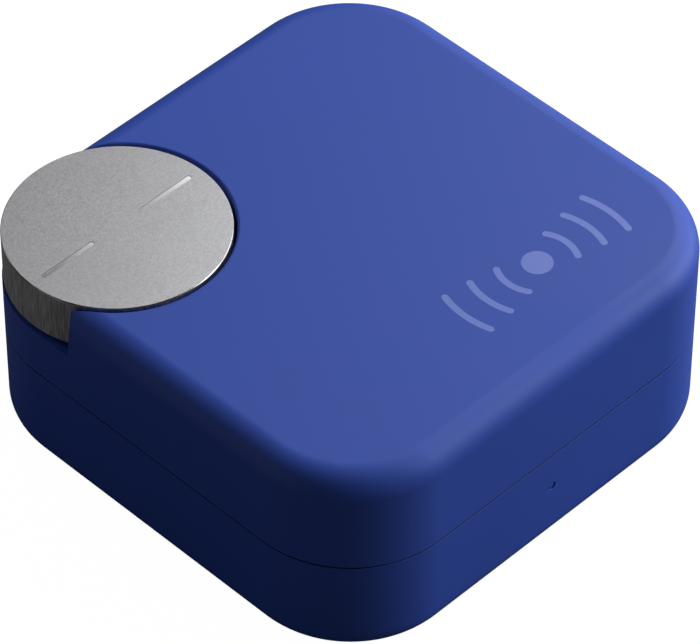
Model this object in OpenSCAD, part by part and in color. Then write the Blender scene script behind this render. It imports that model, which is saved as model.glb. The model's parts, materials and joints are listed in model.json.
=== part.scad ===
// Square item tracker with a turn-and-press dial let into one corner.
// Two moulded shells close round a coin cell, a radio board and a sounder.
// The dial turns on a sprung spindle and its magnet ring is read through
// the pocket floor. The cell comes out through a bayonet door underneath.
// Origin: centre of the footprint, on the plane the rubber feet rest on.
// +X right, +Y back, +Z up. All lengths are in millimetres.

/* [Body] */
// Side length of the square case
body_w = 40; // [39:0.5:42]
// Height of the case without its feet
body_h = 17.4; // [17:0.1:18.4]
// Radius of the upright corners
corner_r = 8.6; // [8.2:0.1:9]
// Rounding of the top and bottom edges
edge_r = 2; // [1.4:0.1:2.2]
// Wall thickness of the shells
wall = 1.6; // [1.4:0.1:1.7]
// Height of the seam between the shells, above the case underside
seam_h = 8.8; // [8.6:0.1:9]

/* [Dial] */
// Distance of the dial axis from the case centre lines
dial_xy = 11.6; // [11.5:0.05:11.7]
// Radius of the dial cap
dial_r = 8.24; // [8.15:0.01:8.3]
// Radial gap between the cap and its pocket
dial_gap = 0.24; // [0.22:0.01:0.4]
// Height of the cap's skirt
skirt_h = 4.1; // [4:0.05:4.15]
// Gap below the skirt, which leaves room for the press
under_gap = 0.3; // [0.28:0.01:0.36]
// Bevel round the top edge of the cap
cap_bevel = 0.15; // [0.1:0.05:0.25]
// Rounding of the pocket rim in the top face
rim_r = 0.3; // [0.2:0.05:0.4]
// Where the thin wall beside the pocket is cut off square
notch_at = 7.8; // [7.7:0.05:8.2]
// Number of clicks in one turn
clicks = 24; // [16:4:24]

/* [Power] */
// Diameter of the coin cell
cell_d = 24.5; // [24:0.1:24.5]
// Thickness of the coin cell
cell_h = 5; // [4.8:0.1:5]
// Radius of the battery door's flange
door_r = 15.9; // [15.7:0.1:15.9]
// Angle from locked to free
door_turn = 40; // [36:1:44]

/* [Feet and screws] */
// Distance of the feet and screws from the centre lines
screw_xy = 14.1; // [14:0.1:14.3]
// Height the feet stand proud
foot_proud = 0.3; // [0.2:0.05:0.4]
// Radius of a foot
foot_r = 2.6; // [2.4:0.1:2.6]

/* [Hidden] */
$fn = 96;

z_under = foot_proud;              // underside of the case
z_top = z_under + body_h;          // top face of the case and the dial
z_seam = z_under + seam_h;         // seam between the shells
z_floor = z_under + wall;          // inside of the bottom wall
z_roof = z_top - wall;             // inside of the top wall
z_skirt = z_top - skirt_h;         // lower edge of the dial cap
z_pocket = z_skirt - under_gap;    // pocket floor, upper side
z_pfloor = z_pocket - 1.2;         // pocket floor, lower side
in_w = body_w - 2 * wall;          // inside width
in_r = corner_r - wall;            // inside corner radius
pocket_r = dial_r + dial_gap;
cap_in = dial_r - 0.8;             // inner radius of the cap's skirt
cap_ceil = z_top - 1;              // underside of the cap's plate

z_ledge = z_under + 1.2;           // ledge the door's seal meets
z_lug = z_ledge + 0.8;             // top of the ledge
z_cell = z_lug + 0.8;              // underside of the coin cell
z_ctop = z_cell + cell_h;          // top of the coin cell
z_pcb = z_ctop + 1.5;              // underside of the board
z_smd = z_pcb + 0.8;               // top of the board
piezo_xy = 4.8;                    // sounder centre
z_piezo = z_roof - 1.5;            // sounder plate, upper side
pin_z = z_under + 5.7;             // light outlet height

// corners that carry a screw: all but the dial's
screw_at = [[1, 1], [1, -1], [-1, -1]];
// board fixings, by angle round the battery frame
fix_deg = [10, 100, 235];
fix_r = 14.55;

blue = [0.15, 0.22, 0.52];
darkblue = [0.10, 0.15, 0.38];
alu = [0.68, 0.68, 0.70];
steel = [0.60, 0.61, 0.63];
gold = [0.80, 0.62, 0.25];
black = [0.08, 0.08, 0.09];

// ---------- shapes used more than once ----------

// outline of a rounded square
module rsq(w, r) {
  square([w, w - 2 * r], center = true);
  square([w - 2 * r, w], center = true);
  for (sx = [-1, 1], sy = [-1, 1])
    translate([sx * (w / 2 - r), sy * (w / 2 - r)]) circle(r = r);
}

// flat ring following a rounded square
module rsq_ring(w_out, r_out, w_in, r_in, z, h)
  translate([0, 0, z]) linear_extrude(h)
    difference() { rsq(w_out, r_out); rsq(w_in, r_in); }

// half section through the case side: r wide, h high, rounded at one end
module side_section(r, h, f, up) {
  square([r - f, h]);
  translate([0, up ? 0 : f]) square([r, h - f]);
  translate([r - f, up ? h - f : f]) circle(r = f);
}

// rounded square block with its upper or lower edge rounded
module soft_block(w, r, h, f, up, z) translate([0, 0, z]) {
  translate([r - w / 2, r - w / 2, 0]) cube([w - 2 * r, w - 2 * r, h]);
  for (k = [0:3]) rotate([0, 0, 90 * k]) {
    translate([w / 2 - r, w / 2 - r, 0])
      rotate_extrude(angle = 90) side_section(r, h, f, up);
    translate([w / 2 - r, w / 2 - r, 0]) rotate([90, 0, 0])
      linear_extrude(w - 2 * r) side_section(r, h, f, up);
  }
}

module at_dial() translate([-dial_xy, dial_xy, 0]) children();

module at_screws() for (s = screw_at)
  translate([s[0] * screw_xy, s[1] * screw_xy, 0]) children();

module at_feet() for (sx = [-1, 1], sy = [-1, 1])
  translate([sx * screw_xy, sy * screw_xy, 0]) children();

module at_fixings() for (a = fix_deg) rotate([0, 0, a])
  translate([fix_r, 0, 0]) children();

// screw boss with the web that ties it to the corner of the case
module boss(z0, z1) for (s = screw_at)
  translate([s[0] * screw_xy, s[1] * screw_xy, z0]) {
    cylinder(r = 2.4, h = z1 - z0);
    rotate([0, 0, atan2(s[1], s[0])]) translate([1.5, -0.6, 0])
      cube([2.2, 1.2, z1 - z0]);
  }

module tube(ro, ri, z0, z1) translate([0, 0, z0]) difference() {
  cylinder(r = ro, h = z1 - z0);
  translate([0, 0, -1]) cylinder(r = ri, h = z1 - z0 + 2);
}

// a groove with round ends, from radius a to radius b along +X
module groove(a, b, r, z, d) translate([0, 0, z - d]) {
  translate([a + r, -r, 0]) cube([b - a - 2 * r, 2 * r, d + 1]);
  translate([a + r, 0, 0]) cylinder(r = r, h = d + 1, $fn = 32);
  translate([b - r, 0, 0]) cylinder(r = r, h = d + 1, $fn = 32);
}

// ---------- case ----------

module top_shell() color(blue) difference() {
  union() {
    difference() {
      soft_block(body_w, corner_r, z_top - z_seam, edge_r, true, z_seam);
      translate([0, 0, z_seam - 1])
        linear_extrude(z_roof - z_seam + 1) rsq(in_w, in_r);
    }
    // cup round the dial
    intersection() {
      at_dial() translate([0, 0, z_pfloor])
        cylinder(r = pocket_r + 1.2, h = z_roof - z_pfloor + 0.2);
      translate([0, 0, z_pfloor - 1])
        linear_extrude(10) rsq(in_w + 0.4, in_r + 0.2);
    }
    // lip that drops inside the bottom shell
    rsq_ring(in_w + 1.4, in_r + 0.7, in_w + 0.1, in_r + 0.05,
      z_seam - 1, 1.2);
    boss(z_seam, z_roof + 0.2);
    // seat of the sounder
    translate([piezo_xy, -piezo_xy, 0])
      tube(10.2, 9.2, z_piezo, z_roof + 0.2);
  }
  // pocket, open at the corner
  at_dial() translate([0, 0, z_pocket]) cylinder(r = pocket_r, h = 10);
  // rounded rim
  at_dial() rotate_extrude() difference() {
    translate([pocket_r - 0.1, z_top - rim_r])
      square([rim_r + 0.1, rim_r + 0.5]);
    translate([pocket_r + rim_r, z_top - rim_r]) circle(r = rim_r);
  }
  // thin wall ends cut off square
  translate([-body_w / 2 - 1, notch_at, z_pocket]) cube([2.5, 4.4, 10]);
  translate([-notch_at - 4.4, body_w / 2 - 1.5, z_pocket]) cube([4.4, 2.5, 10]);
  translate([-body_w, dial_xy, z_pocket]) cube([body_w - dial_xy, body_w, 10]);
  // seat of the bush
  at_dial() translate([0, 0, z_pfloor - 1]) cylinder(r = 2.9, h = 4);
  // seats of the threaded inserts
  at_screws() translate([0, 0, z_seam - 1]) cylinder(r = 1.3, h = 4.9);
}

module bottom_shell() color(blue) difference() {
  union() {
    difference() {
      soft_block(body_w, corner_r, z_seam - z_under, edge_r, false, z_under);
      translate([0, 0, z_floor])
        linear_extrude(20) rsq(in_w, in_r);
    }
    translate([0, 0, z_floor - 0.2]) cylinder(r = 17.2, h = z_lug - z_floor + 0.2);
    boss(z_floor - 0.2, z_seam);
  }
  // rebate for the lip and the seal
  rsq_ring(in_w + 1.6, in_r + 0.8, in_w, in_r, z_seam - 1.4, 3);
  // battery door opening: recess, hole and the three ways in for its lugs
  translate([0, 0, z_under - 1]) cylinder(r = door_r + 0.15, h = 2.2);
  translate([0, 0, z_under - 1]) cylinder(r = 13.35, h = 5);
  for (k = [0:2]) rotate([0, 0, 90 - door_turn + 120 * k - 12.5])
    rotate_extrude(angle = 25)
      translate([13, z_ledge - 0.2]) square([1.6, 2]);
  // feet seats
  at_feet() translate([0, 0, z_under - 1]) cylinder(r = foot_r + 0.1, h = 1.7);
  // screw seats
  at_screws() translate([0, 0, z_under]) cylinder(r = 1.7, h = 1.9);
  at_screws() translate([0, 0, z_under]) cylinder(r = 0.95, h = 12);
  // light outlet
  translate([0, -body_w / 2 - 1, pin_z]) rotate([-90, 0, 0])
    cylinder(r = 0.34, h = 3);
}

module case_seal() color(black)
  rsq_ring(in_w + 1.5, in_r + 0.75, in_w + 0.1, in_r + 0.05,
    z_seam - 1.4, 0.4);

module feet() color([0.12, 0.13, 0.2]) at_feet() rotate_extrude()
  polygon([[0, 0], [foot_r - 0.2, 0], [foot_r, 0.2], [foot_r, z_under + 0.7],
    [0, z_under + 0.7]]);

module case_screws() color(steel) at_screws() difference() {
  union() {
    translate([0, 0, z_under + 0.9]) cylinder(r = 1.5, h = 1);
    translate([0, 0, z_under + 1.8]) cylinder(r = 0.8, h = 10);
  }
  translate([0, 0, z_under]) cylinder(r = 0.6, h = 1.5, $fn = 6);
}

module threaded_inserts() color(gold) at_screws()
  tube(1.28, 0.82, z_seam + 0.1, z_seam + 3.1);

// ---------- power ----------

module battery_door() color(blue) difference() {
  union() {
    translate([0, 0, z_under]) cylinder(r = door_r, h = z_ledge - z_under - 0.05);
    translate([0, 0, z_under + 1]) cylinder(r = 13.2, h = z_cell - 0.05 - z_under - 1);
    for (k = [0:2]) rotate([0, 0, 90 + 120 * k - 11])
      rotate_extrude(angle = 22)
        translate([12.6, z_lug + 0.05]) square([1.8, z_cell - z_lug - 0.1]);
  }
  // hollow behind the plate
  translate([0, 0, z_under + 1.4]) cylinder(r = 11, h = 5);
  // coin slot
  translate([-6.5, -0.95, z_under - 1]) cube([13, 1.9, 1.7]);
  // seal groove
  rotate_extrude() translate([14.75, z_ledge - 0.75]) square([0.9, 2]);
}

module door_seal() color(black) rotate_extrude()
  translate([15.2, z_ledge - 0.4]) circle(r = 0.34);

module coin_cell() color(steel) rotate_extrude() union() {
  translate([0, z_cell]) square([cell_d / 2 - 0.4, cell_h - 0.4]);
  translate([0, z_cell + 0.4]) square([cell_d / 2, cell_h - 1]);
  translate([cell_d / 2 - 0.4, z_cell + 0.4]) circle(r = 0.4);
  translate([0, z_ctop - 0.6]) square([cell_d / 2 - 1.5, 0.6]);
}

module battery_frame() color([0.85, 0.86, 0.88]) difference() {
  union() {
    tube(16.4, 15, z_lug, z_cell + 0.4);
    tube(16.4, 12.5, z_cell + 0.3, z_pcb);
  }
  at_fixings() translate([0, 0, z_pcb - 4]) cylinder(r = 0.6, h = 5);
  // room for the side contact
  translate([-14.4, -2, z_cell + 1]) cube([2.6, 4, 10]);
}

module contact_negative() color(gold) translate([0, 1.5, 0])
  rotate([90, 0, 0]) linear_extrude(3) polygon([
    [8, z_pcb], [4, z_pcb], [-3, z_ctop + 0.2], [-5, z_ctop + 0.2],
    [-5, z_ctop], [-2.9, z_ctop], [4.1, z_pcb - 0.2], [8, z_pcb - 0.2]]);

module contact_positive() color(gold) {
  translate([-cell_d / 2 - 0.2, -1.5, z_cell + 1.4])
    cube([0.2, 3, z_pcb - z_cell - 1.4]);
  translate([-cell_d / 2 - 1.8, -1.5, z_pcb - 0.2]) cube([1.7, 3, 0.2]);
}

// ---------- electronics ----------

module main_board() color([0.05, 0.3, 0.16]) difference() {
  translate([0, 0, z_pcb]) linear_extrude(0.8) rsq(in_w - 0.8, in_r - 0.4);
  at_screws() translate([0, 0, z_pcb - 1]) cylinder(r = 2.8, h = 4);
  // clearance for the webs in those corners
  for (s = screw_at) rotate([0, 0, atan2(s[1], s[0])])
    translate([screw_xy * sqrt(2), -2, z_pcb - 1]) cube([8, 4, 4]);
  at_fixings() translate([0, 0, z_pcb - 1]) cylinder(r = 0.8, h = 4);
}

module radio_soc() color(black)
  translate([3, 4.2, z_smd]) cube([6, 6, 0.9]);

module shield_can() color(steel) difference() {
  translate([0.8, 1.6, z_smd]) cube([11, 11, 1.5]);
  translate([1, 1.8, z_smd - 1]) cube([10.6, 10.6, 2.3]);
}

module chip_antenna() color([0.9, 0.9, 0.86])
  translate([2.5, 15.6, z_smd]) cube([6.5, 1.8, 1.1]);

module crystal() color(steel)
  translate([9.5, 7.4, z_smd]) cube([1.6, 2, 0.6]);

module smd_parts() color([0.55, 0.42, 0.3]) {
  for (i = [0:5]) translate([-11 + 2.2 * i, -7.4, z_smd]) cube([1.2, 0.6, 0.5]);
  for (i = [0:3]) translate([-15.6, -6 + 2.4 * i, z_smd]) cube([0.6, 1.2, 0.5]);
  for (i = [0:2]) translate([-4.6, 4 + 2.4 * i, z_smd]) cube([1.2, 0.8, 0.6]);
  translate([-11, -4.6, z_smd]) cube([3, 2.4, 1.1]);
  translate([-5.6, -4.4, z_smd]) cube([2, 2, 0.8]);
}

module board_screws() color(steel) at_fixings() difference() {
  union() {
    translate([0, 0, z_smd]) cylinder(r = 1.2, h = 0.6);
    translate([0, 0, z_pcb - 3.6]) cylinder(r = 0.58, h = 4.6);
  }
  translate([0, 0, z_smd + 0.2]) cylinder(r = 0.5, h = 1, $fn = 6);
}

module status_led() color([0.95, 0.95, 0.8])
  translate([-0.8, -17.8, z_pcb - 0.6]) cube([1.6, 0.8, 0.6]);

module light_pipe() color([0.3, 0.4, 0.75]) union() {
  translate([-0.7, -18.3, pin_z - 0.8]) cube([1.4, 1.5, z_pcb - 0.8 - pin_z + 0.8]);
  translate([0, -body_w / 2 + 0.2, pin_z]) rotate([-90, 0, 0])
    cylinder(r = 0.33, h = 2);
}

// ---------- sounder ----------

module piezo_plate() color(gold) translate([piezo_xy, -piezo_xy, z_piezo - 0.2])
  cylinder(r = 10, h = 0.2);

module piezo_ceramic() color([0.9, 0.88, 0.8])
  translate([piezo_xy, -piezo_xy, z_piezo - 0.4]) cylinder(r = 7, h = 0.2);

module spring_pin(top) rotate_extrude() polygon([[0, z_smd], [0.75, z_smd],
  [0.75, z_smd + 2.4], [0.4, z_smd + 2.4], [0.4, top - 0.15], [0.25, top],
  [0, top]]);

module buzzer_pins() color(gold) {
  translate([piezo_xy, -piezo_xy, 0]) spring_pin(z_piezo - 0.4);
  translate([piezo_xy + 8.4, -piezo_xy, 0]) spring_pin(z_piezo - 0.2);
}

// ---------- switch and sensors under the dial ----------

module switch_body() color(black) at_dial() difference() {
  translate([-2.4, -2.4, z_smd]) cube([4.8, 4.8, 0.85]);
  translate([0, 0, z_smd + 0.45]) cylinder(r = 2.15, h = 2);
}

dome_a = 2;                          // dome radius at its rim
dome_h = 0.38;                       // dome height
dome_R = (dome_a * dome_a + dome_h * dome_h) / (2 * dome_h);

module switch_dome() color(steel) at_dial() translate([0, 0, z_smd + 0.45])
  rotate_extrude() intersection() {
    translate([0, dome_h - dome_R]) difference() {
      circle(r = dome_R, $fn = 256);
      circle(r = dome_R - 0.08, $fn = 256);
    }
    square([dome_a, 1]);
  }

module switch_button() color([0.8, 0.2, 0.15]) at_dial()
  translate([0, 0, z_smd + 0.85]) cylinder(r = 1.1, h = z_pfloor - 0.45 - z_smd - 0.85);

module hall_sensors() color(black) at_dial() {
  translate([3.2, -1.4, z_smd]) cube([1.6, 2.8, 0.9]);
  translate([-1.4, -4.8, z_smd]) cube([2.8, 1.6, 0.9]);
}

// ---------- dial ----------

module dial_bush() color(gold) at_dial() union() {
  tube(2.9, 2.05, z_pfloor, z_pocket);
  tube(3.8, 2.05, z_pocket, z_pocket + 0.25);
}

module click_spring() color(steel) at_dial() union() {
  rotate([0, 0, -70]) rotate_extrude(angle = 140)
    translate([5.15, z_pocket + 0.3]) square([0.2, 1.2]);
  for (a = [-70, 70]) rotate([0, 0, a]) translate([5.25, 0, z_pocket])
    cylinder(r = 0.5, h = 1.5);
  translate([5.25, -0.25, z_pocket + 0.3]) cube([1.1, 0.5, 1.2]);
  translate([6.35, 0, z_pocket + 0.3]) cylinder(r = 0.32, h = 1.2);
}

// spindle: slides in the bush, presses the switch and carries the hub
module spindle() color(steel) at_dial() rotate_extrude() polygon([
  [0, z_pfloor - 0.45], [2, z_pfloor - 0.45], [2, z_pfloor - 0.38],
  [1.6, z_pfloor - 0.38], [1.6, z_pfloor - 0.05], [2, z_pfloor - 0.05],
  [2, z_pocket + 0.6], [1.5, z_pocket + 0.6], [1.5, cap_ceil - 0.8],
  [0.6, cap_ceil - 0.8], [0.6, z_pfloor + 0.9], [0, z_pfloor + 0.9]]);

module retaining_ring() color(steel) at_dial() difference() {
  tube(3, 1.62, z_pfloor - 0.37, z_pfloor - 0.07);
  translate([0, -0.9, z_pfloor - 1]) cube([4, 1.8, 2]);
}

module hub_screw() color(steel) at_dial() difference() {
  union() {
    translate([0, 0, cap_ceil - 0.8]) cylinder(r = 2.3, h = 0.65);
    translate([0, 0, z_pfloor + 1.3]) cylinder(r = 0.58, h = cap_ceil - 0.8 - z_pfloor - 1.2);
  }
  translate([0, 0, cap_ceil - 0.5]) cylinder(r = 0.8, h = 1, $fn = 6);
}

module dial_hub() color([0.88, 0.88, 0.86]) at_dial() difference() {
  rotate_extrude() polygon([
    [1.55, z_pocket + 0.65], [3, z_pocket + 0.65], [3, cap_ceil - 1.4],
    [6.5, cap_ceil - 1.4], [6.5, z_pocket + 0.6], [cap_in - 0.02, z_pocket + 0.6],
    [cap_in - 0.02, cap_ceil], [2.7, cap_ceil], [2.7, cap_ceil - 0.85],
    [1.55, cap_ceil - 0.85]]);
  for (k = [0:clicks - 1]) rotate([0, 0, 360 / clicks * k])
    translate([6.5, 0, z_pocket]) cylinder(r = 0.45, h = cap_ceil - 1.4 - z_pocket, $fn = 32);
}

module magnet_ring() color([0.3, 0.3, 0.32]) at_dial()
  tube(4.7, 3.05, cap_ceil - 2.6, cap_ceil - 1.4);

module dial_cap() color(alu) at_dial() difference() {
  rotate_extrude() polygon([
    [0, cap_ceil], [cap_in, cap_ceil], [cap_in, z_skirt], [dial_r, z_skirt],
    [dial_r, z_top - cap_bevel], [dial_r - cap_bevel, z_top], [0, z_top]]);
  groove(2.26, 7.2, 0.2, z_top, 0.18);
  rotate([0, 0, 180]) groove(2.26, 7.2, 0.2, z_top, 0.18);
}

top_shell();
bottom_shell();
case_seal();
feet();
case_screws();
threaded_inserts();
battery_door();
door_seal();
coin_cell();
battery_frame();
contact_negative();
contact_positive();
main_board();
radio_soc();
shield_can();
chip_antenna();
crystal();
smd_parts();
board_screws();
status_led();
light_pipe();
piezo_plate();
piezo_ceramic();
buzzer_pins();
switch_body();
switch_dome();
switch_button();
hall_sensors();
dial_bush();
click_spring();
spindle();
retaining_ring();
hub_screw();
dial_hub();
magnet_ring();
dial_cap();
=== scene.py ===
import bpy
import json
import math
import numpy as np
from mathutils import Matrix, Vector


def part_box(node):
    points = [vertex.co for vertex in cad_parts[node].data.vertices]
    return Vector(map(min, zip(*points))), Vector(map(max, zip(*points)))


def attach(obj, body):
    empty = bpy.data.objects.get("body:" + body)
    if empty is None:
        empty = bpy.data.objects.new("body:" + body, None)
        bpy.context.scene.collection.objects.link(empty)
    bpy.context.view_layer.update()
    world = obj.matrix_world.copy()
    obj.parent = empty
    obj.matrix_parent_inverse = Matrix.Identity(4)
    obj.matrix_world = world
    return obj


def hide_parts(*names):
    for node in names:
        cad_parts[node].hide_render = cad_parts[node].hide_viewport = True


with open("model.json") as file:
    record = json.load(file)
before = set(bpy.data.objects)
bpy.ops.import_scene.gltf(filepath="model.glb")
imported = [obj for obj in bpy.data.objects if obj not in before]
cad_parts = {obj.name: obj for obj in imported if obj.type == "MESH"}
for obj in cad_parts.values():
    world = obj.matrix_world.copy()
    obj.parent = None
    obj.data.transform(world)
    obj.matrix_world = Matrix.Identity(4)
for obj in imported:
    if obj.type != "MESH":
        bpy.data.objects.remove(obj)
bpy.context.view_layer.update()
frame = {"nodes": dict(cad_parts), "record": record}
scene = bpy.context.scene
NODES = frame["nodes"]

# ------------------------------------------------------------------ sizes, in millimetres
lo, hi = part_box("top_shell")
W = (hi.x - lo.x) * 1000                     # side of the case
TOP = hi.z * 1000                            # top face
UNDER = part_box("bottom_shell")[0].z * 1000   # underside of the case
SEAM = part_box("bottom_shell")[1].z * 1000    # seam
dlo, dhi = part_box("dial_cap")
AX = (dlo.x + dhi.x) * 500                   # dial axis
AY = (dlo.y + dhi.y) * 500
DR = (dhi.x - dlo.x) * 500                   # dial radius
SKIRT = dlo.z * 1000                         # lower edge of the dial
R, F, WALL = 8.6, 2.0, 1.6
GAP, RIM = 0.24, 0.22
POCKET = SKIRT - 0.3
PFLOOR = POCKET - 1.2
ROOF = TOP - WALL
FLOOR_IN = UNDER + WALL
INW, INR = W - 2 * WALL, R - WALL
SC = 14.1                                    # screws and feet
SCREWS = [(SC, SC), (SC, -SC), (-SC, -SC)]
SEAM_R = 0.035                               # rounding of the two edges at the seam
SEAM_GAP = 0.140                             # shadow line left between the shells


# ------------------------------------------------------------------ mesh helpers
def new_obj(name, verts, faces):
    me = bpy.data.meshes.new(name)
    me.from_pydata([tuple(map(float, v)) for v in verts], [], faces)
    me.validate()
    me.update()
    ob = bpy.data.objects.new(name, me)
    scene.collection.objects.link(ob)
    return ob


def rsq(w, r, n=28, straight=6):
    """Outline of a rounded square, anticlockwise."""
    pts = []
    c = w / 2 - r
    for k in range(4):
        a0 = k * math.pi / 2
        sx, sy = [(1, 1), (-1, 1), (-1, -1), (1, -1)][k]
        for i in range(n + 1):
            a = a0 + math.pi / 2 * i / n
            pts.append((sx * c + r * math.cos(a), sy * c + r * math.sin(a)))
        ex, ey = pts[-1]
        nx, ny = [(-1, 1), (-1, -1), (1, -1), (1, 1)][k]
        a1 = a0 + math.pi / 2
        fx, fy = nx * c + r * math.cos(a1), ny * c + r * math.sin(a1)
        for i in range(1, straight):
            t = i / straight
            pts.append((ex + (fx - ex) * t, ey + (fy - ey) * t))
    return pts


def stack(name, rings):
    """Closed solid from a stack of outlines [(points, z), ...], bottom first."""
    n = len(rings[0][0])
    verts = [(x, y, z) for pts, z in rings for x, y in pts]
    faces = [list(range(n))[::-1]]
    for j in range(len(rings) - 1):
        a, b = j * n, (j + 1) * n
        faces += [[a + i, a + (i + 1) % n, b + (i + 1) % n, b + i] for i in range(n)]
    k = (len(rings) - 1) * n
    faces.append(list(range(k, k + n)))
    return new_obj(name, verts, faces)


def block(name, z0, z1, f_low, f_high, n=28, m=14):
    """The rounded case block from z0 to z1, its edges rounded f_low and f_high."""
    rings = []
    ml = m if f_low > 0.5 else 4
    mh = m if f_high > 0.5 else 4
    for i in range(ml + 1):
        a = math.pi / 2 * i / ml
        off, z = f_low * (1 - math.sin(a)), z0 + f_low * (1 - math.cos(a))
        rings.append((rsq(W - 2 * off, R - off, n), z))
    for i in range(mh + 1):
        a = math.pi / 2 * i / mh
        off, z = f_high * (1 - math.cos(a)), z1 - f_high * (1 - math.sin(a))
        rings.append((rsq(W - 2 * off, R - off, n), z))
    return stack(name, rings)


def prism(pts, z0, z1, name="c"):
    return stack(name, [(pts, z0), (pts, z1)])


def circ(r, cx=0.0, cy=0.0, n=96):
    return [(cx + r * math.cos(2 * math.pi * i / n), cy + r * math.sin(2 * math.pi * i / n)) for i in range(n)]


def cyl(r, z0, z1, cx=0.0, cy=0.0, n=96):
    return prism(circ(r, cx, cy, n), z0, z1)


def rect(x0, y0, x1, y1):
    return [(x0, y0), (x1, y0), (x1, y1), (x0, y1)]


def turned(profile, name="t", n=128, cx=0.0, cy=0.0, a0=0.0, a1=360.0):
    """Profile [(r, z), ...] swept about the vertical axis at cx, cy. A closed profile off the axis, anticlockwise."""
    full = abs(a1 - a0) >= 360
    cols = n if full else n + 1
    m = len(profile)
    verts, faces = [], []
    for i in range(cols):
        a = math.radians(a0 + (a1 - a0) * i / n)
        verts += [(cx + r * math.cos(a), cy + r * math.sin(a), z) for r, z in profile]
    for i in range(n):
        p, q = i * m, ((i + 1) % cols) * m
        for j in range(m):
            k = (j + 1) % m
            faces.append([p + j, q + j, q + k, p + k])
    if not full:
        faces.append(list(range(m)))
        faces.append(list(range((cols - 1) * m, cols * m))[::-1])
    return new_obj(name, verts, faces)


def fix_normals(ob):
    import bmesh
    bm = bmesh.new()
    bm.from_mesh(ob.data)
    bmesh.ops.recalc_face_normals(bm, faces=bm.faces)
    bm.to_mesh(ob.data)
    bm.free()


def boolean(a, op, *cutters, solver="EXACT"):
    for b in cutters:
        fix_normals(b)
        m = a.modifiers.new("b", "BOOLEAN")
        m.operation, m.solver, m.object = op, solver, b
        dg = bpy.context.evaluated_depsgraph_get()
        me = bpy.data.meshes.new_from_object(a.evaluated_get(dg), depsgraph=dg)
        a.modifiers.clear()
        a.data = me
        bpy.data.objects.remove(b)
    return a


def cut(a, *c):
    return boolean(a, "DIFFERENCE", *c)


def add(a, *c):
    return boolean(a, "UNION", *c)


def keep(a, *c):
    return boolean(a, "INTERSECT", *c)


# ------------------------------------------------------------------ exact shading normals
def near_outline(p):
    """Distance inside the case outline, and the outline's outward normal, at (x, y)."""
    c = W / 2 - R
    ax, ay = abs(p.x) - c, abs(p.y) - c
    sx, sy = (1 if p.x >= 0 else -1), (1 if p.y >= 0 else -1)
    if ax > 0 and ay > 0:
        d = math.hypot(ax, ay)
        return R - d, Vector((sx * ax / d, sy * ay / d, 0))
    if ax > ay:
        return W / 2 - abs(p.x), Vector((sx, 0, 0))
    return W / 2 - abs(p.y), Vector((0, sy, 0))


def outer_surface(z_low, z_high, f_low, f_high):
    """Normal of the rounded case block at a point on it, or None."""
    def at(p):
        d, n = near_outline(p)
        for f, z0, s in ((f_high, z_high, 1), (f_low, z_low, -1)):
            u = (p.z - (z0 - s * f)) * s
            if u > -1e-4 and d < f + 1e-3:
                v = n * (f - d) + Vector((0, 0, s * max(u, 0.0)))
                if abs(v.length - f) < 0.02 and v.length > 1e-6:
                    return v.normalized()
        if abs(d) < 0.02 and z_low + f_low - 0.01 < p.z < z_high - f_high + 0.01:
            return n
        return None
    return at


def round_surface(r, cx, cy, inward):
    def at(p):
        v = Vector((p.x - cx, p.y - cy, 0))
        if abs(v.length - r) > 0.02:
            return None
        return v.normalized() * (-1 if inward else 1)
    return at


def ring_surface(r, z, small, cx, cy, sign=1):
    def at(p):
        v = Vector((p.x - cx, p.y - cy, 0))
        c = Vector((cx, cy, z)) + v.normalized() * r
        d = p - c
        if abs(d.length - small) > 0.02:
            return None
        return d.normalized() * sign
    return at


def shade(ob, surfaces, tol=0.94):
    """Gives each face the normals of the true surface that it lies on; other faces stay flat."""
    me = ob.data
    out = [Vector((0, 0, 1))] * len(me.loops)
    co = [v.co.copy() for v in me.vertices]
    for f in me.polygons:
        fn = f.normal.copy()
        flat = True
        for s in surfaces:
            ns = []
            for i in f.loop_indices:
                n = s(co[me.loops[i].vertex_index])
                if n is None or n.dot(fn) < tol:
                    ns = None
                    break
                ns.append(n)
            if ns:
                for i, n in zip(f.loop_indices, ns):
                    out[i] = n
                flat = False
                break
        if flat:
            for i in f.loop_indices:
                out[i] = fn
    for f in me.polygons:
        f.use_smooth = True
    me.normals_split_custom_set(out)
    me.update()


def to_metres(ob):
    ns = None
    if ob.data.has_custom_normals:
        ns = [Vector(c.vector) for c in ob.data.corner_normals]
    ob.data.transform(Matrix.Scale(0.001, 4))
    if ns:
        ob.data.normals_split_custom_set(ns)
    ob.data.update()
    return ob


def soften(ob, angle=30):
    for f in ob.data.polygons:
        f.use_smooth = True
    ob.data.set_sharp_from_angle(angle=math.radians(angle))
    m = ob.modifiers.new("wn", "WEIGHTED_NORMAL")
    m.keep_sharp = True
    m.weight = 80


# ------------------------------------------------------------------ materials
def material(name):
    m = bpy.data.materials.new(name)
    m.use_nodes = True
    nt = m.node_tree
    bsdf = nt.nodes["Principled BSDF"]
    return m, nt, bsdf


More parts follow.
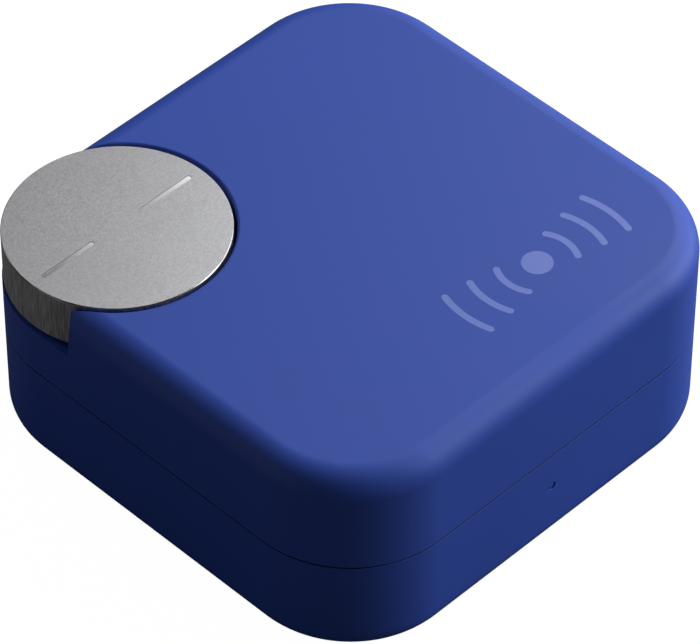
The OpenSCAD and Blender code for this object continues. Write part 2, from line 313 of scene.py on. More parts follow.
class Net:
    """Short hand for building a node tree."""

    def __init__(self, nt):
        self.nt = nt

    def node(self, kind, **kw):
        n = self.nt.nodes.new(kind)
        for k, v in kw.items():
            setattr(n, k, v)
        return n

    def link(self, a, b):
        self.nt.links.new(a, b)

    def put(self, sock, v):
        if isinstance(v, bpy.types.NodeSocket):
            self.link(v, sock)
        else:
            sock.default_value = v

    def math(self, op, a, b=0.0, c=0.0, clamp=False):
        n = self.node("ShaderNodeMath", operation=op)
        n.use_clamp = clamp
        self.put(n.inputs[0], a)
        self.put(n.inputs[1], b)
        self.put(n.inputs[2], c)
        return n.outputs[0]

    def coords(self):
        return self.node("ShaderNodeTexCoord").outputs["Object"]

    def noise(self, vec, scale, detail=2.0, rough=0.5):
        n = self.node("ShaderNodeTexNoise")
        self.put(n.inputs["Vector"], vec)
        n.inputs["Scale"].default_value = scale
        n.inputs["Detail"].default_value = detail
        n.inputs["Roughness"].default_value = rough
        return n.outputs["Fac"]

    def remap(self, v, a, b, c, d):
        n = self.node("ShaderNodeMapRange")
        self.put(n.inputs["Value"], v)
        for i, x in zip(("From Min", "From Max", "To Min", "To Max"), (a, b, c, d)):
            n.inputs[i].default_value = x
        return n.outputs["Result"]

    def mix(self, fac, a, b):
        n = self.node("ShaderNodeMix", data_type="RGBA")
        self.put(n.inputs[0], fac)
        self.put(n.inputs[6], a)
        self.put(n.inputs[7], b)
        return n.outputs[2]

    def bump(self, height, strength, distance):
        n = self.node("ShaderNodeBump")
        n.inputs["Strength"].default_value = strength
        n.inputs["Distance"].default_value = distance
        self.put(n.inputs["Height"], height)
        return n.outputs["Normal"]


def rgb(c, k=1.0):
    return (c[0] * k, c[1] * k, c[2] * k, 1.0)


def general(name, base, rough=0.5, metal=0.0, vary=0.12, grain=4000.0, bump=0.15, depth=1e-5, ior=1.45, coat=0.0, blotch=300.0):
    """A moulded, cast or machined finish: broken-up colour and gloss with a fine grain."""
    m, nt, b = material(name)
    n = Net(nt)
    co = n.coords()
    big = n.noise(co, blotch, 3.0)
    fine = n.noise(co, grain, 2.0)
    n.link(n.mix(n.remap(big, 0.3, 0.7, 0, 1), rgb(base, 1 - vary), rgb(base, 1 + vary * 0.6)), b.inputs["Base Color"])
    mixd = n.math("ADD", n.math("MULTIPLY", big, 0.6), n.math("MULTIPLY", fine, 0.4))
    n.link(n.remap(mixd, 0.3, 0.7, rough * 0.85, min(1.0, rough * 1.15)), b.inputs["Roughness"])
    n.link(n.bump(fine, bump, depth), b.inputs["Normal"])
    b.inputs["Metallic"].default_value = metal
    b.inputs["IOR"].default_value = ior
    b.inputs["Coat Weight"].default_value = coat
    return m


BLUE = (0.0238, 0.0695, 0.4080)
MARK_X, MARK_Y = 6.65, -11.86


def shell_material(name, printed):
    """Blue moulded plastic with a soft-touch skin; the top also carries the printed symbol."""
    m, nt, b = material(name)
    n = Net(nt)
    co = n.coords()
    cloud = n.noise(co, 90.0, 3.0, 0.55)
    skin = n.noise(co, 7000.0, 2.0, 0.6)
    pores = n.noise(co, 2600.0, 3.0, 0.6)
    base = n.mix(n.remap(cloud, 0.3, 0.7, 0, 1), rgb(BLUE, 0.97), rgb(BLUE, 1.03))
    fleck = n.remap(skin, 0.35, 0.65, 0.0, 1.0)
    base = n.mix(n.math("MULTIPLY", fleck, 0.10), base, rgb((0.045, 0.095, 0.38)))
    rough = n.math("ADD", n.remap(cloud, 0.3, 0.7, 0.50, 0.56), n.math("MULTIPLY", skin, 0.08))
    height = n.math("ADD", n.math("MULTIPLY", skin, 0.5), n.math("MULTIPLY", pores, 0.5))
    if printed:
        sep = n.node("ShaderNodeSeparateXYZ")
        n.link(co, sep.inputs[0])
        x = n.math("ABSOLUTE", n.math("SUBTRACT", n.math("MULTIPLY", sep.outputs[0], 1000.0), MARK_X))
        y = n.math("ABSOLUTE", n.math("SUBTRACT", n.math("MULTIPLY", sep.outputs[1], 1000.0), MARK_Y))
        r = n.math("SQRT", n.math("ADD", n.math("MULTIPLY", x, x), n.math("MULTIPLY", y, y)))
        dist = n.math("SUBTRACT", r, 1.15)
        dot = n.remap(dist, 0.02, -0.02, 0.0, 1.0)
        arcs = None
        for rad, half, w in ((2.95, 1.55, 0.52), (5.15, 1.95, 0.52), (7.35, 2.2, 0.52)):
            ex, ey = math.sqrt(rad * rad - half * half), half
            band = n.math("ABSOLUTE", n.math("SUBTRACT", r, rad))
            outside = n.math("GREATER_THAN", y, n.math("MULTIPLY", x, ey / ex))
            dx, dy = n.math("SUBTRACT", x, ex), n.math("SUBTRACT", y, ey)
            end = n.math("SQRT", n.math("ADD", n.math("MULTIPLY", dx, dx), n.math("MULTIPLY", dy, dy)))
            d = n.math("ADD", n.math("MULTIPLY", outside, end), n.math("MULTIPLY", n.math("SUBTRACT", 1.0, outside), band))
            d = n.math("SUBTRACT", d, w / 2)
            arcs = d if arcs is None else n.math("MINIMUM", arcs, d)
        lines = n.remap(arcs, 0.02, -0.02, 0.0, 1.0)
        top = n.math("GREATER_THAN", sep.outputs[2], (TOP - 0.05) / 1000)
        ink = n.math("MULTIPLY", n.math("MAXIMUM", dot, lines), top)
        worn = n.remap(n.noise(co, 900.0, 4.0, 0.65), 0.2, 0.8, 0.90, 1.0)
        base = n.mix(n.math("MULTIPLY", ink, worn), base, rgb((0.140, 0.205, 0.600)))
        rough = n.math("SUBTRACT", rough, n.math("MULTIPLY", ink, 0.08))
        height = n.math("ADD", n.math("MULTIPLY", height, n.math("SUBTRACT", 1.0, n.math("MULTIPLY", ink, 0.6))), n.math("MULTIPLY", ink, 0.8))
    n.link(base, b.inputs["Base Color"])
    n.link(rough, b.inputs["Roughness"])
    n.link(n.bump(height, 0.22, 8e-6), b.inputs["Normal"])
    b.inputs["IOR"].default_value = 1.42
    b.inputs["Sheen Weight"].default_value = 0.0
    b.inputs["Sheen Roughness"].default_value = 0.5
    return m


def dial_top_material():
    """Bead-blasted aluminium."""
    m, nt, b = material("dial_blasted")
    n = Net(nt)
    co = n.coords()
    grain = n.noise(co, 9500.0, 1.0, 0.6)
    coarse = n.noise(co, 4200.0, 2.0, 0.6)
    cloud = n.noise(co, 220.0, 2.0, 0.5)
    mixd = n.math("ADD", n.math("MULTIPLY", grain, 0.6), n.math("MULTIPLY", coarse, 0.4))
    fac = n.math("ADD", n.remap(mixd, 0.36, 0.64, 0.0, 0.9), n.remap(cloud, 0.3, 0.7, 0.0, 0.1))
    n.link(n.mix(fac, rgb((0.566, 0.568, 0.592)), rgb((0.742, 0.744, 0.772))), b.inputs["Base Color"])
    b.inputs["Metallic"].default_value = 1.0
    n.link(n.remap(mixd, 0.3, 0.7, 0.36, 0.42), b.inputs["Roughness"])
    n.link(n.bump(mixd, 0.30, 7e-6), b.inputs["Normal"])
    return m


def dial_side_material():
    """Skirt of the dial, brushed up and down."""
    m, nt, b = material("dial_brushed_side")
    n = Net(nt)
    co = n.coords()
    sep = n.node("ShaderNodeSeparateXYZ")
    n.link(co, sep.inputs[0])
    x = n.math("SUBTRACT", sep.outputs[0], AX / 1000)
    y = n.math("SUBTRACT", sep.outputs[1], AY / 1000)
    r = n.math("SQRT", n.math("ADD", n.math("MULTIPLY", x, x), n.math("MULTIPLY", y, y)))
    comb = n.node("ShaderNodeCombineXYZ")
    n.link(n.math("DIVIDE", x, r), comb.inputs[0])
    n.link(n.math("DIVIDE", y, r), comb.inputs[1])
    n.link(n.math("MULTIPLY", sep.outputs[2], 4.5), comb.inputs[2])
    fine = n.noise(comb.outputs[0], 150.0, 1.0, 0.5)
    wide = n.noise(comb.outputs[0], 34.0, 2.0, 0.5)
    mixd = n.math("ADD", n.math("MULTIPLY", fine, 0.85), n.math("MULTIPLY", wide, 0.15))
    n.link(n.mix(n.remap(mixd, 0.36, 0.64, 0, 1), rgb((0.38, 0.38, 0.385)), rgb((0.78, 0.78, 0.78))), b.inputs["Base Color"])
    b.inputs["Metallic"].default_value = 1.0
    n.link(n.remap(mixd, 0.3, 0.7, 0.36, 0.54), b.inputs["Roughness"])
    n.link(n.bump(mixd, 0.6, 1.6e-5), b.inputs["Normal"])
    return m


def polished_material(name, base, rough):
    """Cut metal: the bevel and the two grooves; the dark copies for the bevel and the groove walls are painted shade.
    """
    m, nt, b = material(name)
    n = Net(nt)
    co = n.coords()
    fine = n.noise(co, 3800.0, 2.0, 0.6)
    col = n.mix(n.remap(fine, 0.3, 0.7, 0, 1), rgb(base, 0.95), rgb(base, 1.03))
    n.link(col, b.inputs["Base Color"])
    b.inputs["Metallic"].default_value = 1.0
    n.link(n.remap(fine, 0.3, 0.7, rough * 0.92, rough * 1.08), b.inputs["Roughness"])
    n.link(n.bump(fine, 0.1, 3e-6), b.inputs["Normal"])
    return m


MAT = {
    "shell_top": shell_material("shell_blue_printed", True),
    "shell": shell_material("shell_blue_plain", False),
    "dial_top": dial_top_material(),
    "dial_side": dial_side_material(),
    # the bevel's dark base is painted shade: a thin dark shadow line round the top edge of the cap, which also dims
    # its highlight
    "dial_cut_painted_shade": polished_material("dial_bevel_painted_shade", (0.36, 0.36, 0.37), 0.22),
    "dial_groove": polished_material("dial_groove", (0.80, 0.80, 0.80), 0.38),
    # painted shade: dark metal for the groove walls and a narrow strip of the groove floor along them
    "dial_edge_painted_shade": polished_material("dial_groove_edge_painted_shade", (0.30, 0.30, 0.30), 0.48),
    # painted shade: the faces inside the seam gap get this much darker blue, standing in for the shade in the gap
    "seam": general("shell_seam_painted_shade", (0.0045, 0.0130, 0.0800), 0.7, 0.0, 0.15, 3000.0),
    "dial_in": general("dial_inside", (0.55, 0.55, 0.56), 0.45, 1.0, 0.1, 5000.0),
}
SLOT_MAT = {
    "shell_blue": MAT["shell"],
    "seal_black": general("m_seal", (0.020, 0.020, 0.023), 0.62, 0.0, 0.2, 3000.0),
    "foot_rubber": general("m_foot", (0.030, 0.036, 0.070), 0.72, 0.0, 0.15, 2600.0, 0.4, 2e-5),
    "screw_steel": general("m_steel", (0.55, 0.56, 0.58), 0.32, 1.0, 0.1, 5000.0),
    "brass_parts": general("m_brass", (0.74, 0.56, 0.24), 0.34, 1.0, 0.12, 4000.0),
    "cell_steel": general("m_cell", (0.68, 0.68, 0.69), 0.30, 1.0, 0.08, 6000.0, 0.1),
    "frame_white": general("m_frame", (0.72, 0.73, 0.74), 0.55, 0.0, 0.06, 3000.0),
    "contact_metal": general("m_contact", (0.80, 0.62, 0.30), 0.26, 1.0, 0.08, 5000.0),
    "board_green": general("m_board", (0.010, 0.110, 0.045), 0.34, 0.0, 0.35, 1500.0, 0.2, 1e-5, coat=0.4, blotch=900.0),
    "chip_black": general("m_chip", (0.018, 0.018, 0.020), 0.55, 0.0, 0.25, 5000.0),
    "can_metal": general("m_can", (0.62, 0.63, 0.64), 0.36, 1.0, 0.08, 3000.0),
    "ceramic_white": general("m_ceramic", (0.80, 0.77, 0.68), 0.45, 0.0, 0.06, 4000.0),
    "smd_tan": general("m_smd", (0.38, 0.26, 0.15), 0.42, 0.0, 0.25, 4000.0),
    "led_clear": general("m_led", (0.86, 0.84, 0.60), 0.22, 0.0, 0.05, 3000.0),
    "pipe_blue": general("m_pipe", (0.030, 0.080, 0.400), 0.42, 0.0, 0.08, 3000.0, 0.1, 5e-6),
    "button_red": general("m_button", (0.50, 0.05, 0.04), 0.45, 0.0, 0.12, 3000.0),
    "hub_pom": general("m_hub", (0.76, 0.76, 0.73), 0.48, 0.0, 0.06, 3000.0),
    "magnet_grey": general("m_magnet", (0.10, 0.10, 0.11), 0.5, 0.5, 0.2, 2500.0),
    "dial_aluminium": MAT["dial_in"],
}
slot_of = {s["node"]: s["material_slot"] for s in frame["record"]["subparts"]}
for name, ob in NODES.items():
    mat = SLOT_MAT[slot_of[name]]
    if not ob.material_slots:
        ob.data.materials.append(mat)
    for s in ob.material_slots:
        s.link = "OBJECT"
        s.material = mat


# ------------------------------------------------------------------ pieces
def tag(ob, body, node):
    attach(ob, body)
    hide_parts(node)


def bosses(ob, z0, z1):
    for sx, sy in SCREWS:
        add(ob, cyl(2.4, z0, z1, sx, sy, 48))
        a = math.atan2(sy, sx)
        c, s = math.cos(a), math.sin(a)
        web = [(sx + c * u - s * v, sy + s * u + c * v) for u, v in ((1.5, -0.6), (3.7, -0.6), (3.7, 0.6), (1.5, 0.6))]
        add(ob, prism(web, z0, z1))


def make_top():
    ob = block("top_case", SEAM, TOP, SEAM_R, F)
    cut(ob, prism(rsq(INW, INR, 20, 2), SEAM - 1, ROOF))
    cup = cyl(DR + GAP + 1.2, PFLOOR, ROOF + 0.2, AX, AY, 128)
    keep(cup, prism(rsq(INW + 0.4, INR + 0.2, 20, 2), PFLOOR - 1, ROOF + 5))
    add(ob, cup)
    lip = prism(rsq(INW + 1.4, INR + 0.7, 20, 2), SEAM - 1, SEAM + 0.2)
    cut(lip, prism(rsq(INW + 0.1, INR + 0.05, 20, 2), SEAM - 2, SEAM + 3))
    add(ob, lip)
    line = prism(rsq(W + 2, R + 1, 28, 6), SEAM - 1, SEAM + SEAM_GAP)
    cut(line, prism(rsq(W - 0.7, R - 0.35, 28, 6), SEAM - 2, SEAM + 2))
    cut(ob, line)
    bosses(ob, SEAM, ROOF + 0.2)
    seat = cyl(10.2, ROOF - 1.5, ROOF + 0.2, 4.8, -4.8)
    cut(seat, cyl(9.2, ROOF - 3, ROOF + 3, 4.8, -4.8))
    add(ob, seat)
    pr = DR + GAP
    cut(ob, cyl(pr, POCKET, TOP + 5, AX, AY, 192))
    arc = [(pr + RIM - RIM * math.cos(t), TOP - RIM + RIM * math.sin(t)) for t in np.linspace(0, math.pi / 2, 9)]
    prof = [(pr - 0.12, TOP - RIM)] + arc + [(pr + RIM, TOP + 0.5), (pr - 0.12, TOP + 0.5)]
    cut(ob, turned(prof, n=192, cx=AX, cy=AY))
    # the thin wall beside the pocket is cut off along this line, seen from the side
    edge = [(7.93, POCKET), (7.75, POCKET + 1.8), (7.65, POCKET + 2.66), (7.70, POCKET + 3.15), (7.88, POCKET + 3.6),
            (8.10, POCKET + 3.85), (8.50, POCKET + 4.1), (9.4, POCKET + 4.3), (12.2, POCKET + 4.3), (12.2, POCKET)]
    for swap in (False, True):
        side = prism(edge[::-1], -W / 2 - 1, -W / 2 + 1.5)
        for v in side.data.vertices:
            y, z, x = v.co
            v.co = (-y, -x, z) if swap else (x, y, z)
        cut(ob, side)
        wall = prism(rect(-W, 12.0, -AY, W), POCKET, TOP + 5) if swap else prism(rect(-W / 2 - 1, 9.0, -W / 2 + 1.5, 12.2), POCKET, TOP + 5)
        cut(ob, wall)
    cut(ob, cyl(2.9, PFLOOR - 1, PFLOOR + 3, AX, AY, 64))
    for sx, sy in SCREWS:
        cut(ob, cyl(1.3, SEAM - 1, SEAM + 3.9, sx, sy, 48))
    shade(ob, [
        outer_surface(SEAM, TOP, SEAM_R, F),
        ring_surface(pr + RIM, TOP - RIM, RIM, AX, AY),
        round_surface(pr, AX, AY, True),
        round_surface(pr + 1.2, AX, AY, False),
    ])
    to_metres(ob)
    ob.data.materials.clear()
    ob.data.materials.append(MAT["shell_top"])
    ob.data.materials.append(MAT["seam"])
    for f in ob.data.polygons:
        z = f.center.z * 1000
        # the ceiling and inner wall of the seam gap take the painted-shade blue
        f.material_index = 1 if SEAM - 0.01 < z < SEAM + SEAM_GAP + 0.01 and near_outline(f.center * 1000)[0] > 0.01 else 0
    tag(ob, "case", "top_shell")
    return ob


def make_bottom():
    ob = block("bottom_case", UNDER, SEAM, F, SEAM_R)
    cut(ob, prism(rsq(INW, INR, 20, 2), FLOOR_IN, SEAM + 5))
    ledge, lug = UNDER + 1.2, UNDER + 2.0
    add(ob, cyl(17.2, FLOOR_IN - 0.2, lug, n=128))
    bosses(ob, FLOOR_IN - 0.2, SEAM)
    reb = prism(rsq(INW + 1.6, INR + 0.8, 20, 2), SEAM - 1.4, SEAM + 2)
    cut(reb, prism(rsq(INW, INR, 20, 2), SEAM - 3, SEAM + 3))
    cut(ob, reb)
    # door recess with a softened rim
    dr = 16.05
    rim = 0.15
    arc = [(dr + rim - rim * math.cos(t), UNDER + rim - rim * math.sin(t)) for t in np.linspace(0, math.pi / 2, 6)]
    cut(ob, cyl(dr, UNDER - 1, ledge, n=192))
    cut(ob, turned([(dr - 0.1, UNDER + rim)] + arc + [(dr + rim, UNDER - 0.4), (dr - 0.1, UNDER - 0.4)], n=192))
    cut(ob, cyl(13.35, UNDER - 1, UNDER + 4, n=128))
    for k in range(3):
        a = 90 - 40 + 120 * k - 12.5
        cut(ob, turned([(13.0, ledge - 0.2), (14.6, ledge - 0.2), (14.6, ledge + 1.8), (13.0, ledge + 1.8)], n=16, a0=a, a1=a + 25))
    for sx in (-1, 1):
        for sy in (-1, 1):
            cut(ob, cyl(2.7, UNDER - 1, UNDER + 0.7, sx * SC, sy * SC, 64))
    for sx, sy in SCREWS:
        cut(ob, cyl(1.7, UNDER, UNDER + 1.9, sx, sy, 48))
        cut(ob, cyl(0.95, UNDER, SEAM + 2, sx, sy, 40))
    # light outlet, with a tiny rounded mouth
    pin = cyl(0.34, 0, 3, n=40)
    pin.data.transform(Matrix.Translation((0, -W / 2 - 1, UNDER + 5.7)) @ Matrix.Rotation(-math.pi / 2, 4, "X"))
    cut(ob, pin)
    mouth = turned([(0.30, 0.04)] + [(0.38 - 0.04 * math.cos(t), 0.04 - 0.04 * math.sin(t)) for t in np.linspace(0, math.pi / 2, 5)] + [(0.38, -0.3), (0.30, -0.3)], n=40)
    mouth.data.transform(Matrix.Translation((0, -W / 2, UNDER + 5.7)) @ Matrix.Rotation(-math.pi / 2, 4, "X"))
    cut(ob, mouth)
    hole = Vector((0, 0, UNDER + 5.7))

    def pin_wall(p):
        v = Vector((p.x, 0, p.z - hole.z))
        if abs(v.length - 0.34) > 0.01:
            return None
        return -v.normalized()
    shade(ob, [
        outer_surface(UNDER, SEAM, F, SEAM_R),
        ring_surface(dr + rim, UNDER + rim, rim, 0, 0),
        round_surface(dr, 0, 0, True),
        round_surface(13.35, 0, 0, True),
        pin_wall,
    ])
    to_metres(ob)
    ob.data.materials.clear()
    ob.data.materials.append(MAT["shell"])
    ob.data.materials.append(MAT["seam"])
    for f in ob.data.polygons:
        # the rim top face under the seam gap takes the painted-shade blue
        f.material_index = 1 if f.normal.z > 0.9 and abs(f.center.z * 1000 - SEAM) < 0.002 else 0
    tag(ob, "case", "bottom_shell")
    return ob


def groove(s):
    """Cutter of one groove: round ends, and a floor that rolls slightly from one end to the other."""
    r0, a, b, deep, n = 0.20, 2.26, 7.2, 0.035, 40
    verts, faces = [], []
    for i in range(n + 1):
        t = i / n
        u = a + (b - a) * (0.5 - 0.5 * math.cos(math.pi * t)) if s > 0 else -b + (b - a) * (0.5 - 0.5 * math.cos(math.pi * t))
        near, far = (a, b) if s > 0 else (-b, -a)
        d = min(u - near, far - u)
        w = r0 if d >= r0 else max(math.sqrt(max(r0 * r0 - (r0 - d) ** 2, 0.0)), 0.012)
        k = (u - near) / (far - near)
        roll = math.radians(-1.6 + 5.2 * k) if s > 0 else math.radians(-6.0 + 8.8 * k)
        # extra columns 0.035 mm in from each wall, where the painted-shade strip of the floor ends
        edge = w - min(0.035, w * 0.4)
        cols = [-w, -edge, -edge * 0.5, 0.0, edge * 0.5, edge, w]
        m = len(cols) - 1
        for y in cols:
            verts.append((AX + u, AY + y, TOP - deep + y * math.tan(roll)))
        for y in (-w, w):
            verts.append((AX + u, AY + y, TOP + 0.5))
    c = m + 3
    for i in range(n):
        p, q = i * c, (i + 1) * c
        for j in range(m):
            faces.append([p + j, p + j + 1, q + j + 1, q + j])
        faces.append([p, q, q + m + 1, p + m + 1])
        faces.append([p + m, p + m + 2, q + m + 2, q + m])
        faces.append([p + m + 1, q + m + 1, q + m + 2, p + m + 2])
    for p in (0, n * c):
        faces.append([p + j for j in range(m + 1)] + [p + m + 2, p + m + 1])
    return new_obj("groove", verts, faces)


def make_dial():
    """Metal cap: blasted top, polished bevel and grooves, brushed skirt; the bevel and the groove walls carry painted
    shade.
    """
    inner, ceil, bev = DR - 0.8, TOP - 1.0, 0.055
    e = 0.012
    prof = [
        (inner, ceil), (inner, SKIRT + 0.06), (inner + 0.06, SKIRT), (DR - 0.08, SKIRT), (DR - 0.025, SKIRT + 0.03), (DR, SKIRT + 0.09),
        (DR, TOP - bev - e), (DR - 0.008, TOP - bev + 0.006), (DR - bev + 0.006, TOP - 0.008), (DR - bev - e, TOP)]
    n = 256
    m = len(prof)
    verts, faces, kinds = [], [], []
    for i in range(n):
        a = 2 * math.pi * i / n
        verts += [(AX + r * math.cos(a), AY + r * math.sin(a), z) for r, z in prof]
    for i in range(n):
        p, q = i * m, ((i + 1) % n) * m
        for j in range(m - 1):
            faces.append([p + j, q + j, q + j + 1, p + j + 1])
    faces.append([i * m + m - 1 for i in range(n)])
    faces.append([i * m for i in range(n)][::-1])
    ob = new_obj("dial", verts, faces)
    fix_normals(ob)
    for s in (1, -1):
        cut(ob, groove(s))
    me = ob.data
    me.materials.clear()
    for k in ("dial_top", "dial_side", "dial_cut_painted_shade", "dial_in", "dial_groove", "dial_edge_painted_shade"):
        me.materials.append(MAT[k])
    for f in me.polygons:
        c, nn = f.center, f.normal
        r = math.hypot(c.x - AX, c.y - AY)
        if nn.z > 0.99 and c.z > TOP - 0.01:
            f.material_index = 0
        elif c.z > TOP - 0.5 and r < DR - 0.4:
            side = abs(c.y - AY)
            u = abs(c.x - AX)
            end = min(u - 2.26, 7.2 - u)
            rim = 0.2 - (side if end > 0.2 else math.hypot(side, 0.2 - end))
            # groove walls and the outer 0.035 mm of the groove floor get the painted-shade metal
            f.material_index = 5 if nn.z < 0.5 or rim < 0.035 else 4
        elif c.z > TOP - bev - 0.02:
            # the bevel band gets the darkened bevel metal, painted shade
            f.material_index = 2
        elif r > DR - 0.2:
            f.material_index = 1
        else:
            f.material_index = 3
    to_metres(ob)
    soften(ob, 28)
    tag(ob, "dial", "dial_cap")
    return ob


def make_door():
    """Round battery door with a coin slot."""
    ledge, lug, cell = UNDER + 1.2, UNDER + 2.0, UNDER + 2.8
    dr, e = 15.9, 0.14
    arc = [(dr - e + e * math.sin(t), UNDER + e - e * math.cos(t)) for t in np.linspace(0, math.pi / 2, 6)]
    prof = arc + [(dr, ledge - 0.05), (15.65, ledge - 0.05), (15.65, ledge - 0.75), (14.75, ledge - 0.75), (14.75, ledge - 0.05),
                  (13.2, ledge - 0.05), (13.2, cell - 0.05), (11.0, cell - 0.05), (11.0, UNDER + 1.4)]
    n, m = 192, len(prof)
    verts, faces = [], []
    for i in range(n):
        a = 2 * math.pi * i / n
        verts += [(r * math.cos(a), r * math.sin(a), z) for r, z in prof]
    for i in range(n):
        p, q = i * m, ((i + 1) % n) * m
        for j in range(m - 1):
            faces.append([p + j, q + j, q + j + 1, p + j + 1])
    faces.append([i * m for i in range(n)][::-1])
    faces.append([i * m + m - 1 for i in range(n)])
    ob = new_obj("door", verts, faces)
    fix_normals(ob)
    for k in range(3):
        a = 90 + 120 * k - 11
        add(ob, turned([(12.6, lug + 0.05), (14.4, lug + 0.05), (14.4, cell - 0.05), (12.6, cell - 0.05)], n=12, a0=a, a1=a + 22))
    # coin slot with a bevelled mouth
    cut(ob, prism(rect(-6.5, -0.95, 6.5, 0.95), UNDER - 1, UNDER + 0.7))
    lip = stack("lip", [(rect(-6.7, -1.15, 6.7, 1.15), UNDER - 0.05), (rect(-6.4, -0.85, 6.4, 0.85), UNDER + 0.25)])
    cut(ob, lip)
    to_metres(ob)
    ob.data.materials.clear()
    ob.data.materials.append(MAT["shell"])
    soften(ob, 28)
    tag(ob, "battery_door", "battery_door")
    return ob


def make_feet():
    """Four rubber pads with rounded rims and a shallow dish."""
    r = 2.6
    prof = [(0, 0.10), (1.2, 0.09), (1.9, 0.03), (2.1, 0.0), (2.3, 0.0)]
    prof += [(2.3 + 0.3 * math.sin(t), 0.3 - 0.3 * math.cos(t)) for t in np.linspace(0.2, math.pi / 2, 6)]
    prof += [(r, 1.0), (0, 1.0)]
    verts, faces = [], []
    n = 64
    for sx in (-1, 1):
        for sy in (-1, 1):
            base = len(verts)
            cx, cy = sx * SC, sy * SC
            verts.append((cx, cy, prof[0][1]))
            verts.append((cx, cy, prof[-1][1]))
            ring = prof[1:-1]
            m = len(ring)
            for i in range(n):
                a = 2 * math.pi * i / n
                verts += [(cx + q * math.cos(a), cy + q * math.sin(a), z) for q, z in ring]
            for i in range(n):
                p, q = base + 2 + i * m, base + 2 + ((i + 1) % n) * m
                faces.append([base, q, p])
                for j in range(m - 1):
                    faces.append([p + j, q + j, q + j + 1, p + j + 1])
                faces.append([p + m - 1, q + m - 1, base + 1])
    ob = new_obj("foot_pads", verts, faces)
    fix_normals(ob)
    to_metres(ob)
    ob.data.materials.append(SLOT_MAT["foot_rubber"])
    soften(ob, 35)
    tag(ob, "case", "feet")
    return ob


def make_pipe():
    """Light guide: a block over the LED and a tip with a domed end that fills the outlet."""
    z = UNDER + 5.7
    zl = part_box("status_led")[0].z * 1000
    ob = prism([(-0.62, -18.22), (-0.7, -18.14), (-0.7, -16.88), (-0.62, -16.8), (0.62, -16.8), (0.7, -16.88), (0.7, -18.14), (0.62, -18.22), (0.5, -18.3), (-0.5, -18.3)][::-1], z - 0.8, zl, "pipe")
    tip = [(0.0, 0.0), (0.12, 0.006), (0.22, 0.022), (0.30, 0.055), (0.33, 0.10), (0.33, 1.9), (0.0, 1.9)]
    verts, faces, n = [(0, 0, tip[0][1]), (0, 0, tip[-1][1])], [], 40
    ring = tip[1:-1]
    m = len(ring)
    for i in range(n):
        a = 2 * math.pi * i / n
        verts += [(q * math.cos(a), q * math.sin(a), w) for q, w in ring]
    for i in range(n):
        p, q = 2 + i * m, 2 + ((i + 1) % n) * m
        faces.append([0, q, p])
        for j in range(m - 1):
            faces.append([p + j, q + j, q + j + 1, p + j + 1])
        faces.append([p + m - 1, q + m - 1, 1])
    end = new_obj("tip", verts, faces)
    end.data.transform(Matrix.Translation((0, -W / 2 + 0.06, z)) @ Matrix.Rotation(-math.pi / 2, 4, "X"))
    add(ob, end)
    to_metres(ob)
    ob.data.materials.clear()
    ob.data.materials.append(SLOT_MAT["pipe_blue"])
    soften(ob, 35)
    ob.name = "light_guide"
    tag(ob, "case", "light_pipe")
    return ob


def make_dome():
    """Click dome, drawn as flat as it is when pressed, so that the button never passes through it."""
    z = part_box("switch_dome")[0].z * 1000
    rs = [0.22, 0.5, 0.8, 1.1, 1.4, 1.7, 1.9, 2.0]
    h = [0.13 * (1 - (q / 2.02) ** 2) + 0.004 for q in rs]
    under = [(q, z + max(k - 0.05, 0.0)) for q, k in zip(rs, h)]
    over = [(q, z + k) for q, k in zip(rs, h)]
    ob = turned(under + over[::-1], "click_dome", 96, AX, AY)
    fix_normals(ob)
    to_metres(ob)
    ob.data.materials.append(SLOT_MAT[slot_of["switch_dome"]])
    soften(ob, 35)
    tag(ob, "case", "switch_dome")
    return ob


top = make_top()
dome = make_dome()
bottom = make_bottom()
guide = make_pipe()
dial = make_dial()
door = make_door()
pads = make_feet()

# ------------------------------------------------------------------ floor, light and camera
floor = new_obj("floor", [(-3, -3, 0), (3, -3, 0), (3, 3, 0), (-3, 3, 0)], [[0, 1, 2, 3]])
fm, fnt, fb = material("floor_white")
fnet = Net(fnt)
fpath = fnet.node("ShaderNodeLightPath")
fgrain = fnet.noise(fnet.coords(), 40.0, 3.0)
fb.inputs["Roughness"].default_value = 0.9
fnet.link(fnet.mix(fgrain, (0.095, 0.095, 0.095, 1), (0.105, 0.105, 0.105, 1)), fb.inputs["Base Color"])
fseen = fnet.node("ShaderNodeAddShader")
fglow = fnet.node("ShaderNodeEmission")
fglow.inputs["Strength"].default_value = 0.985
fdiff = fnet.node("ShaderNodeBsdfDiffuse")
fdiff.inputs["Color"].default_value = (0.12, 0.12, 0.12, 1)
fnet.link(fglow.outputs[0], fseen.inputs[0])
fnet.link(fdiff.outputs[0], fseen.inputs[1])
fmix = fnet.node("ShaderNodeMixShader")
fnet.link(fpath.outputs["Is Camera Ray"], fmix.inputs[0])
fnet.link(fb.outputs[0], fmix.inputs[1])
fnet.link(fseen.outputs[0], fmix.inputs[2])
fnet.link(fmix.outputs[0], fnt.nodes["Material Output"].inputs[0])
floor.data.materials.append(fm)

world = bpy.data.worlds.new("studio")
scene.world = world
world.use_nodes = True
wn = Net(world.node_tree)
bg = world.node_tree.nodes["Background"]
path = wn.node("ShaderNodeLightPath")
cam_bg = wn.node("ShaderNodeBackground")
cam_bg.inputs[0].default_value = (1, 1, 1, 1)
cam_bg.inputs[1].default_value = 1.05
bg.inputs[0].default_value = (1, 1, 1, 1)
bg.inputs[1].default_value = 0.056
mixw = wn.node("ShaderNodeMixShader")
wn.link(path.outputs["Is Camera Ray"], mixw.inputs[0])
wn.link(bg.outputs[0], mixw.inputs[1])
wn.link(cam_bg.outputs[0], mixw.inputs[2])
wn.link(mixw.outputs[0], world.node_tree.nodes["World Output"].inputs[0])


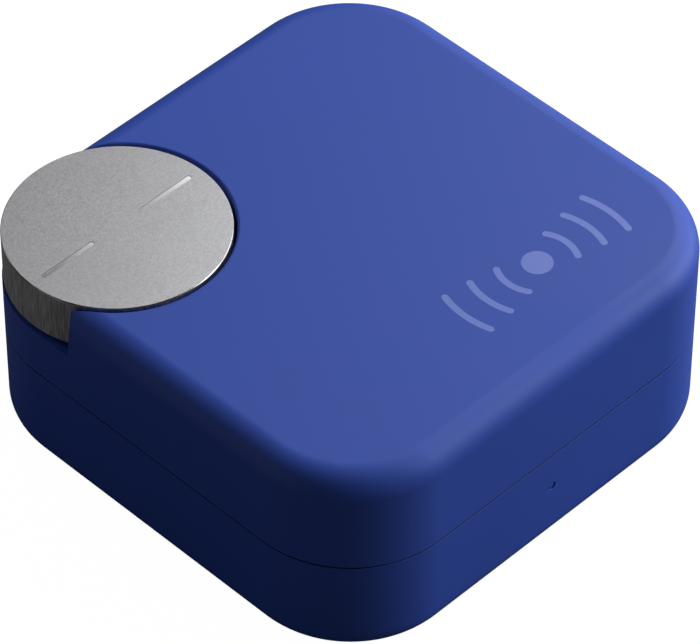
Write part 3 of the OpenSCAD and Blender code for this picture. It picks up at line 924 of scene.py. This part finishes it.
def area(name, direction, dist, size, power, colour=(1, 1, 1), size_y=None):
    """Soft box in that direction from the object, facing it."""
    light = bpy.data.lights.new(name, "AREA")
    light.shape = "RECTANGLE"
    light.size = size
    light.size_y = size_y or size
    light.energy = power
    light.color = colour
    ob = bpy.data.objects.new(name, light)
    scene.collection.objects.link(ob)
    d = Vector(direction).normalized()
    ob.location = d * dist + Vector((0, 0, 0.009))
    ob.rotation_mode = "QUATERNION"
    ob.rotation_quaternion = d.to_track_quat("Z", "Y")
    ob.visible_camera = False
    return ob


# elevation, azimuth counted from the camera's side towards the right of the picture, watts
LIGHTS = {
    "key_back": (45, 150, 0.64),
    "key_right": (24, 90, 0.56),
    "top_right": (45, 100, 0.26),
    "low_back": (8, 150, 0.12),
    "low_right_back": (8, 118, 0.42),
    "fill_left": (6, 300, 0.066),
    "fill_back_left": (23, 238, 0.084),
}
for k, (e, a, p) in LIGHTS.items():
    e, a = math.radians(e), math.radians(a - 45)
    area(k, (math.sin(a) * math.cos(e), -math.cos(a) * math.cos(e), math.sin(e)), 0.35, 0.16, p)

az, el, roll, cx, cy, focal, dist = -45.27349, 45.43474, 0.128825, -0.000619, -0.135988, 5137.2531, 9.358244
S = W / 1000
a, e, r = map(math.radians, (az, el, roll))
B = Vector((math.sin(a) * math.cos(e), -math.cos(a) * math.cos(e), math.sin(e)))
right = (-B).cross(Vector((0, 0, 1))).normalized()
up = right.cross(-B)
RR = right * math.cos(r) + up * math.sin(r)
UU = -right * math.sin(r) + up * math.cos(r)
C = (B * dist - RR * cx - UU * cy) * S + Vector((0, 0, UNDER / 1000))
camd = bpy.data.cameras.new("camera")
camd.sensor_width = 36
camd.lens = focal * 36 / 700
camd.clip_start, camd.clip_end = 0.01, 20
cam = bpy.data.objects.new("camera", camd)
scene.collection.objects.link(cam)
cam.matrix_world = Matrix(((RR.x, UU.x, B.x, C.x), (RR.y, UU.y, B.y, C.y), (RR.z, UU.z, B.z, C.z), (0, 0, 0, 1)))
scene.camera = cam
scene.view_settings.view_transform = "Standard"
scene.view_settings.look = "None"
